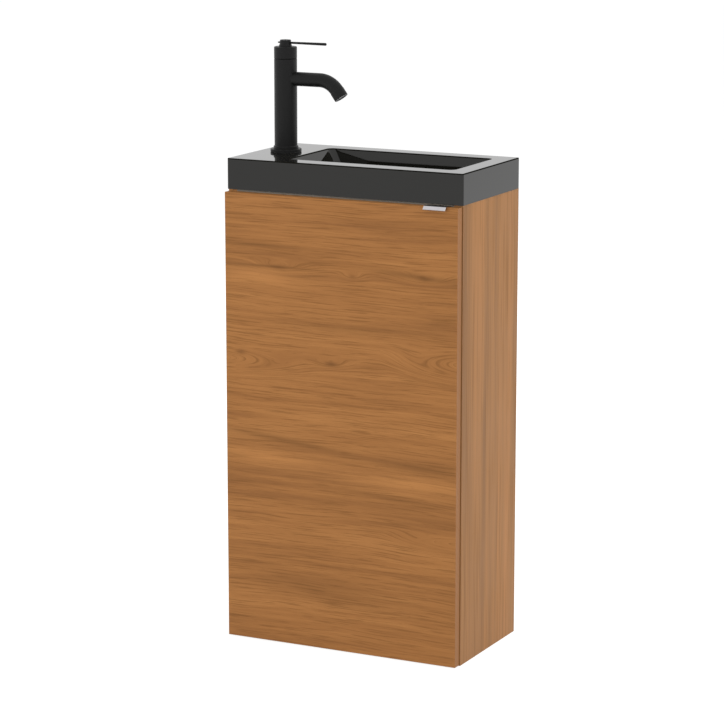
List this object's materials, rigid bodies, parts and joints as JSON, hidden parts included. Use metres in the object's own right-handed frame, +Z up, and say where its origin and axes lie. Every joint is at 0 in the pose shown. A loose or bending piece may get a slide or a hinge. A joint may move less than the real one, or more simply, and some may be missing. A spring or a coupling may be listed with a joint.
{
  "type": "cloakroom vanity unit",
  "caption": "Slim cloakroom vanity unit: wood-grain cabinet with one hinged door and edge pull, gloss black basin with side tap deck, matt black mixer tap, waste and bottle trap.",
  "frame": {"origin": "centre of the cabinet's base, on the floor", "axes": "+Z up, -Y out of the door's front, +Y towards the wall, +X to the viewer's right"},
  "size_m": [0.402, 0.2291, 0.9395],
  "materials": {
    "wood_door": "satin decor",
    "wood_side": "satin decor",
    "wood_inner": "satin decor",
    "back_board": "matt board",
    "grey_rail": "satin decor",
    "dowel_wood": "raw",
    "steel_fittings": "zinc plated",
    "zinc_fittings": "cast zinc",
    "hinge_steel": "nickel plated",
    "bumper_rubber": "soft clear",
    "chrome_pull": "polished",
    "chrome_waste": "polished",
    "black_basin": "gloss cast mineral",
    "black_tap": "matt",
    "rubber_seal": "matt",
    "trap_plastic": "white moulded",
    "aerator_plastic": "grey moulded",
    "cartridge_plastic": "moulded",
    "brass_nut": "turned"
  },
  "bodies": {
    "cabinet": {"left_side_panel": "wood_side", "right_side_panel": "wood_side", "bottom_panel": "wood_inner", "back_panel": "back_board", "front_rail": "grey_rail", "rear_rail": "wood_inner", "shelf": "wood_inner", "shelf_pegs": "steel_fittings", "wood_dowels": "dowel_wood", "cam_bolts": "steel_fittings", "cam_locks": "zinc_fittings", "door_bumpers": "bumper_rubber", "hinge_arms": "hinge_steel", "hinge_arm_pins": "steel_fittings", "hinge_plates": "hinge_steel", "hinge_plate_screws": "steel_fittings", "hinge_arm_screws": "steel_fittings", "basin": "black_basin", "waste_body": "chrome_waste", "waste_seal": "rubber_seal", "waste_backnut": "trap_plastic", "trap_inlet_washer": "rubber_seal", "trap_inlet_nut": "trap_plastic", "trap_body": "trap_plastic", "trap_outlet_nut": "trap_plastic", "trap_bottle": "trap_plastic", "trap_bottle_seal": "rubber_seal", "tap_seal": "rubber_seal", "tap_body": "black_tap", "tap_flange": "black_tap", "aerator_collar": "black_tap", "aerator_insert": "aerator_plastic", "cartridge": "cartridge_plastic", "cartridge_nut": "brass_nut", "tap_stud": "brass_nut", "tap_washer": "steel_fittings", "tap_nut": "brass_nut"},
    "hinge_link": {"hinge_links": "hinge_steel"},
    "door": {"door": "wood_door", "finger_pull": "chrome_pull", "finger_pull_screws": "steel_fittings", "hinge_cups": "hinge_steel", "hinge_cup_pins": "steel_fittings", "hinge_cup_screws": "steel_fittings"},
    "handle_cap": {"tap_cap": "black_tap"},
    "lever": {"lever_hub": "black_tap", "lever_rod": "black_tap", "lever_grub_screw": "steel_fittings", "cartridge_stem": "brass_nut"},
    "plug": {"waste_plug": "chrome_waste"}
  },
  "joints": [
    {"name": "link_swing", "type": "hinge", "parent": "cabinet", "child": "hinge_link", "pos_m": [-0.1765, -0.107, 0.355], "axis": [0, 0, 1], "range_deg": [0, 44]},
    {"name": "door_swing", "type": "hinge", "parent": "hinge_link", "child": "door", "pos_m": [-0.191, -0.106, 0.355], "axis": [0, 0, -1], "range_deg": [0, 139]},
    {"name": "handle_turn", "type": "hinge", "parent": "cabinet", "child": "handle_cap", "pos_m": [-0.156, 0.0035, 0.919], "axis": [0, 0, 1], "range_deg": [-45, 45]},
    {"name": "lever_lift", "type": "hinge", "parent": "handle_cap", "child": "lever", "pos_m": [-0.156, 0.0035, 0.928], "axis": [0, -1, 0], "range_deg": [0, 15]},
    {"name": "plug_slide", "type": "slide", "parent": "cabinet", "child": "plug", "axis": [0, 0, 1], "range_m": [0, 0.008]}
  ],
  "couplings": [
    {"joint": "link_swing", "follows": "door_swing", "ratio": 0.31655}
  ]
}
